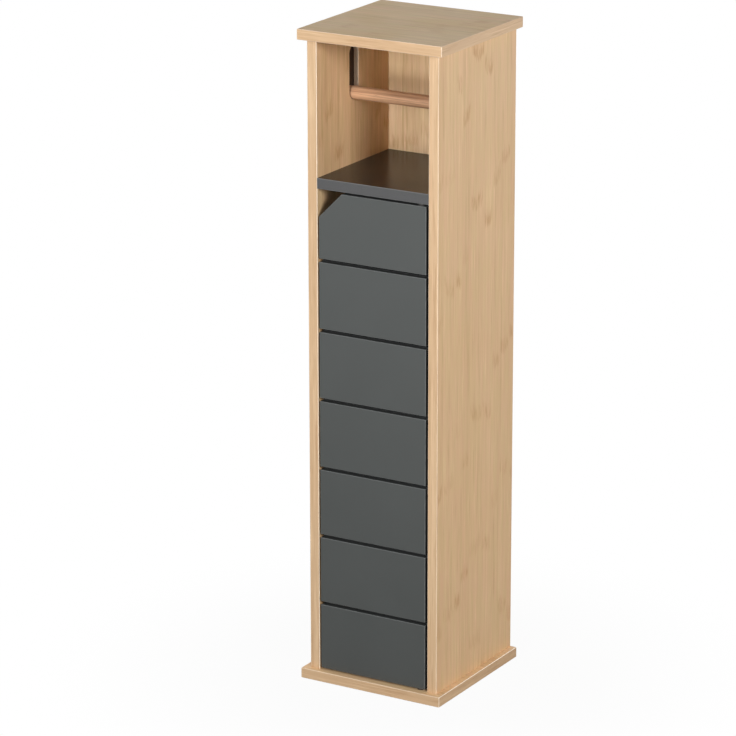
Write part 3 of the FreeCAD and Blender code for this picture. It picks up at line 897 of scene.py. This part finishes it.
class ROLLSTAND_OT_bands(Operator):
    """Finishes the edge bands of the boards"""
    bl_idname = "roll_stand.bands"
    bl_label = "Edge bands"

    # Places of the bands in the endless print
    BASE_SHIFT = (0.61, 0.0, 0.0)
    TOP_SHIFT = (0.98, 0.29, 0.0)
    UPRIGHT_SHIFT = (0.83, 0.05, 0.0)

    def execute(self, context):
        s = context.scene.roll_stand.bamboo
        for board, core, shift in (("base", s.base_core, self.BASE_SHIFT),
                                   ("top", s.top_core, self.TOP_SHIFT)):
            wide = bamboo_band(
                f"Edge band {board} front", s, "Z", "X", shift, s.corner_core, s.front_core)
            finish(wide, f"{board}_front_band", f"{board}_rear_band")
            deep = bamboo_band(f"Edge band {board} side", s, "Z", "Y", shift, s.corner_core, core)
            finish(deep, f"{board}_left_band", f"{board}_right_band")
        upright = bamboo_band("Edge band upright", s, "X", "Z", self.UPRIGHT_SHIFT,
                              s.side_core, s.side_core, s.inner_core)
        finish(upright, *(f"{side}_side_{end}_band" for side in ("left", "right")
                          for end in ("front", "rear")))
        return {"FINISHED"}


class ROLLSTAND_OT_shelf(Operator):
    """Finishes the grey shelf and its edge band"""
    bl_idname = "roll_stand.shelf"
    bl_label = "Shelf"

    def execute(self, context):
        s = context.scene.roll_stand.grey
        face = grey_face("Grey shelf", s.shelf, s.shelf_band,
                         roughness=0.22, gloss=0.2, shift=(0.4, 0.2, 0.1))
        finish(face, "middle_shelf")
        band = grey_face("Grey edge band", s.shelf_band, s.pale_wear_and_highlight,
                         roughness=0.42, gloss=0.5, shift=(0.1, 0.7, 0.3))
        finish(band, "shelf_front_band")
        return {"FINISHED"}


class ROLLSTAND_OT_door(Operator):
    """Models the grooved door with its finger cut and rounded arrises"""
    bl_idname = "roll_stand.door"
    bl_label = "Door"

    MERGE_REACH = 0.01 * MM
    FLAT_ANGLE = math.radians(1)
    ARRIS_SEGMENTS = 3

    def execute(self, context):
        s = context.scene.roll_stand.grey
        low, high = DOOR_LOW, DOOR_HIGH
        size = high - low
        centre = (low + high) / 2
        deselect()
        bpy.ops.mesh.primitive_plane_add(
            size=1, location=(low.x, centre.y, centre.z), rotation=(0, math.pi / 2, 0))
        door = context.object
        door.name = door.data.name = "grooved_door"
        door.scale = (size.z, size.y, 1)
        bpy.ops.object.transform_apply(location=True, rotation=True, scale=True)

        bpy.ops.object.mode_set(mode="EDIT")
        pitch = (size.z + s.groove_width) / s.fields
        tops = [low.z + count * pitch for count in range(1, s.fields)]
        groove_floor = low.y + s.groove_depth
        cut((0, groove_floor, 0), (0, 1, 0))
        for top in tops:
            cut((0, 0, top - s.groove_width), (0, 0, 1))
            cut((0, 0, top), (0, 0, 1))

        def in_groove(face):
            place = face.calc_center_median()
            return place.y < groove_floor and any(
                top - s.groove_width < place.z < top for top in tops)
        select("FACE", in_groove)
        bpy.ops.mesh.delete(type="FACE")
        bpy.ops.mesh.select_all(action="SELECT")
        bpy.ops.mesh.extrude_region_move(TRANSFORM_OT_translate={"value": (size.x, 0, 0)})
        cut((low.x, 0, high.z - s.finger_cut), (-1, 0, 1), use_fill=True, clear_outer=True)
        bpy.ops.mesh.select_all(action="SELECT")
        bpy.ops.mesh.remove_doubles(threshold=self.MERGE_REACH)
        bpy.ops.mesh.dissolve_limited(angle_limit=self.FLAT_ANGLE)
        bpy.ops.mesh.select_all(action="SELECT")
        bpy.ops.mesh.normals_make_consistent(inside=False)
        bpy.ops.object.mode_set(mode="OBJECT")
        round_edges(door, s.lip, self.ARRIS_SEGMENTS)

        door.data.materials.clear()
        door.data.materials.append(door_lacquer("Satin lacquer", s))
        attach(door, "door")
        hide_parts("door_panel")
        return {"FINISHED"}


class ROLLSTAND_OT_rod(Operator):
    """Models the turned rod with rounded ends and the lathe's centre marks"""
    bl_idname = "roll_stand.rod"
    bl_label = "Rod"

    SIDES = 72
    END_SEGMENTS = 4
    MARK_TAPER = 0.6
    SMOOTH_ANGLE = math.radians(28)
    END_FACING = 0.99
    GRAIN_SHIFT = (0.3, 0.2, 0.1)

    def execute(self, context):
        s = context.scene.roll_stand.rod
        low, high = ROD_LOW, ROD_HIGH
        radius = (high.z - low.z) / 2
        deselect()
        bpy.ops.mesh.primitive_cylinder_add(
            vertices=self.SIDES, radius=radius, depth=high.x - low.x,
            location=(low + high) / 2, rotation=(0, math.pi / 2, 0))
        rod = context.object
        rod.name = rod.data.name = "turned_rod"
        bpy.ops.object.transform_apply(location=True, rotation=True, scale=True)

        bpy.ops.object.mode_set(mode="EDIT")
        reach = high.x - SLACK
        select("EDGE", lambda edge: abs(middle(edge).x) > reach)
        bpy.ops.mesh.bevel(offset=s.end_round, segments=self.END_SEGMENTS, affect="EDGES")
        select("FACE", lambda face: abs(face.normal.x) > self.END_FACING)
        bpy.ops.mesh.inset(thickness=radius - s.end_round - s.centre_mark, use_individual=True)
        bpy.ops.mesh.inset(thickness=s.centre_mark * self.MARK_TAPER, depth=-s.centre_mark,
                           use_individual=True)
        bpy.ops.mesh.select_all(action="SELECT")
        bpy.ops.mesh.normals_make_consistent(inside=False)
        bpy.ops.object.mode_set(mode="OBJECT")
        bpy.ops.object.shade_smooth_by_angle(angle=self.SMOOTH_ANGLE)

        rod.data.materials.clear()
        wood = solid_wood("Rod wood", s.light, s.dark, "Z", "X", self.GRAIN_SHIFT, roughness=0.36)
        rod.data.materials.append(wood)
        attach(rod, "rod")
        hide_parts("roll_rod")
        return {"FINISHED"}


class ROLLSTAND_OT_fittings(Operator):
    """Finishes the screws, pins, cams, dowels, bushes and the catch"""
    bl_idname = "roll_stand.fittings"
    bl_label = "Fittings"

    def execute(self, context):
        s = context.scene.roll_stand.fittings
        steel = metal("Plated steel", s.steel, roughness=0.24)
        finish(steel, "lower_pivot_pin", "upper_pivot_pin", "catch_pole_plates", "catch_screws",
               "strike_plate", "strike_screw", "base_screws", "top_cam_bolts", "shelf_cam_bolts")
        finish(metal("Cast zinc", s.zinc, roughness=0.38), "top_cams", "shelf_cams")
        nylon = moulding("Dark nylon", s.nylon, roughness=0.42, depth=0.01 * MM)
        finish(nylon, "lower_pivot_bush", "upper_pivot_bush")
        finish(moulding("Brown moulding", s.plastic, roughness=0.4, depth=0.02 * MM), "catch_housing")
        finish(moulding("Ferrite", s.ferrite, roughness=0.6, depth=0.04 * MM), "catch_magnet")
        dark = shade(s.dowel, 0.62)
        upright = solid_wood("Dowel wood upright", s.dowel, dark, "X", "Z", (0.1, 0.4, 0.2), roughness=0.6)
        finish(upright, "base_dowels", "top_dowels")
        level = solid_wood("Dowel wood level", s.dowel, dark, "Z", "X", (0.5, 0.1, 0.7), roughness=0.6)
        finish(level, "shelf_dowels")
        return {"FINISHED"}


def place_from(azimuth, elevation, distance, aim):
    """Point seen from aim at an azimuth from the front and an elevation, in degrees."""
    turn, rise = math.radians(azimuth), math.radians(elevation)
    way = Vector((math.sin(turn) * math.cos(rise), -math.cos(turn) * math.cos(rise), math.sin(rise)))
    return Vector(aim) + distance * way


def soft_lamp(name, watts, size, azimuth, elevation, distance, aim, spread=180):
    """Soft lamp of a width and a height, turned to its aim, with its angles in degrees."""
    data = bpy.data.lights.new(name, "AREA")
    data.energy = watts
    data.shape = "RECTANGLE"
    data.size, data.size_y = size
    data.spread = math.radians(spread)
    lamp = bpy.data.objects.new(name, data)
    bpy.context.scene.collection.objects.link(lamp)
    lamp.location = place_from(azimuth, elevation, distance, aim)
    lamp.rotation_euler = (Vector(aim) - lamp.location).to_track_quat("-Z", "Y").to_euler()


def seen_by_eye(p):
    """1 for what the camera sees straight, and 1 for what it sees mirrored or through glass."""
    path = p.node("LightPath").outputs
    return path["Is Camera Ray"], p.sum(
        "MAXIMUM", path["Is Glossy Ray"], path["Is Transmission Ray"])


# Distances from the stand between which the floor turns white, to the eye and in mirrors
NEAR_WHITE = (0.12, 0.45)
MIRRORED_WHITE = (0.3, 2.4)
SHADOWED_WHITE = 0.955


def floor_material(s):
    """Pale floor that reads white away from the stand and keeps the stand's shadow."""
    material = bpy.data.materials.new("Pale floor")
    p = empty_tree(material)
    place = p.node("TexCoord").outputs["Object"]
    fleck = p.noise(place, FLECKS, roughness=0.5)
    matt = p.node("BsdfDiffuse", {"Color": p.mottle(s.floor, FLOOR_SHADE, fleck)})
    white = p.node("Emission", {"Color": (1, 1, 1), "Strength": 1.0})
    away = p.node("VectorMath", {0: place}, operation="LENGTH").outputs["Value"]
    straight, mirrored = seen_by_eye(p)
    share_white = p.sum("MULTIPLY_ADD", straight, p.ease(away, *NEAR_WHITE, SHADOWED_WHITE, 1.0),
                        p.times(mirrored, p.ease(away, *MIRRORED_WHITE)))
    lit = p.node("MixShader", {0: share_white, 1: matt.outputs[0], 2: white.outputs[0]})
    clear = p.node("BsdfTransparent")
    under = p.node("NewGeometry").outputs["Backfacing"]
    both = p.node("MixShader", {0: under, 1: lit.outputs[0], 2: clear.outputs[0]})
    p.node("OutputMaterial", {"Surface": both.outputs[0]})
    return material


def surround(s):
    """World: white to the eye, and a plain level of light from all round."""
    world = bpy.data.worlds.new("Studio surround")
    bpy.context.scene.world = world
    p = empty_tree(world)
    strength = p.between(p.sum("MAXIMUM", *seen_by_eye(p)), s.surround, 1.0)
    light = p.node("Background", {"Color": (1, 1, 1), "Strength": strength})
    p.node("OutputWorld", {"Surface": light.outputs[0]})


class ROLLSTAND_OT_stage(Operator):
    """Lays the floor, open under the base, hangs the lamps and sets up the camera"""
    bl_idname = "roll_stand.stage"
    bl_label = "Stage"

    CAMERA_PLACE = (2.04, -3.52, 1.615)
    CAMERA_RIGHT = (0.859616, 0.510938, -0.001634)
    CAMERA_AHEAD = (-0.48857, 0.82104, -0.295285)
    CAMERA_LENS = 186.75
    SENSOR_WIDTH = 36.0
    AIM = (0.0, 0.0, 0.55)
    KEY_AIM = (0.0, 0.0, 0.99)
    FLOOR_SIZE = 40
    FLOOR_DROP = 0.2 * MM
    HALF_OPENING = 0.0886

    def execute(self, context):
        s = context.scene.roll_stand.stage
        deselect()
        bpy.ops.mesh.primitive_plane_add(size=1, location=(0, 0, -self.FLOOR_DROP))
        floor = context.object
        floor.name = "floor"
        floor.scale = (self.FLOOR_SIZE, self.FLOOR_SIZE, 1)
        bpy.ops.object.transform_apply(location=True, rotation=True, scale=True)
        bpy.ops.object.mode_set(mode="EDIT")
        bpy.ops.mesh.select_all(action="SELECT")
        bpy.ops.mesh.inset(thickness=self.FLOOR_SIZE / 2 - self.HALF_OPENING)
        bpy.ops.mesh.delete(type="FACE")
        bpy.ops.object.mode_set(mode="OBJECT")
        floor.data.materials.append(floor_material(s))

        surround(s)
        soft_lamp("Key lamp", s.key, size=(0.3, 1.2),
                  azimuth=1, elevation=0, distance=2.26, aim=self.KEY_AIM, spread=110)
        soft_lamp("Side lamp", s.side, size=(0.8, 1.0),
                  azimuth=57, elevation=16, distance=3.2, aim=self.AIM)
        soft_lamp("Right lamp", s.right, size=(1.2, 1.4),
                  azimuth=100, elevation=12, distance=2.8, aim=self.AIM)
        soft_lamp("Left lamp", s.left, size=(1.3, 1.3),
                  azimuth=-93, elevation=19, distance=2.5, aim=self.AIM)
        soft_lamp("Rear lamp", s.rear, size=(0.8, 1.2),
                  azimuth=179, elevation=4, distance=2.5, aim=self.AIM)
        soft_lamp("Low lamp", s.low, size=(1.0, 1.0),
                  azimuth=0, elevation=-89, distance=2.0, aim=self.AIM)

        data = bpy.data.cameras.new("Camera")
        data.lens = self.CAMERA_LENS
        data.sensor_width = self.SENSOR_WIDTH
        camera = bpy.data.objects.new("Camera", data)
        context.scene.collection.objects.link(camera)
        right = Vector(self.CAMERA_RIGHT).normalized()
        ahead = Vector(self.CAMERA_AHEAD)
        ahead = (ahead - ahead.dot(right) * right).normalized()
        turn = Matrix((right, right.cross(ahead), -ahead)).transposed().to_4x4()
        camera.matrix_world = Matrix.Translation(self.CAMERA_PLACE) @ turn
        context.scene.camera = camera
        context.scene.view_settings.view_transform = "Standard"
        return {"FINISHED"}


PIECES = (
    ROLLSTAND_OT_boards,
    ROLLSTAND_OT_bands,
    ROLLSTAND_OT_shelf,
    ROLLSTAND_OT_door,
    ROLLSTAND_OT_rod,
    ROLLSTAND_OT_fittings,
    ROLLSTAND_OT_stage,
)


class ROLLSTAND_PT_looks(Panel):
    """Pieces of the stand and what may be changed in them"""
    bl_idname = "ROLLSTAND_PT_looks"
    bl_label = "Roll Stand"
    bl_space_type = "VIEW_3D"
    bl_region_type = "UI"
    bl_category = "Roll Stand"

    def draw(self, context):
        for piece in PIECES:
            self.layout.operator(piece.bl_idname)
        settings = context.scene.roll_stand
        for group in (settings.bamboo, settings.grey, settings.rod, settings.fittings, settings.stage):
            box = self.layout.box()
            for key in group.bl_rna.properties.keys():
                if key not in ("rna_type", "name"):
                    box.prop(group, key)


CLASSES = (
    BambooSettings,
    GreySettings,
    RodSettings,
    FittingSettings,
    StageSettings,
    RollStandSettings,
    *PIECES,
    ROLLSTAND_PT_looks,
)


def register():
    for each in CLASSES:
        bpy.utils.register_class(each)
    bpy.types.Scene.roll_stand = PointerProperty(type=RollStandSettings)


def unregister():
    del bpy.types.Scene.roll_stand
    for each in reversed(CLASSES):
        bpy.utils.unregister_class(each)


def main():
    register()
    bpy.ops.roll_stand.boards()
    bpy.ops.roll_stand.bands()
    bpy.ops.roll_stand.shelf()
    bpy.ops.roll_stand.door()
    bpy.ops.roll_stand.rod()
    bpy.ops.roll_stand.fittings()
    bpy.ops.roll_stand.stage()


if __name__ == "__main__":
    main()
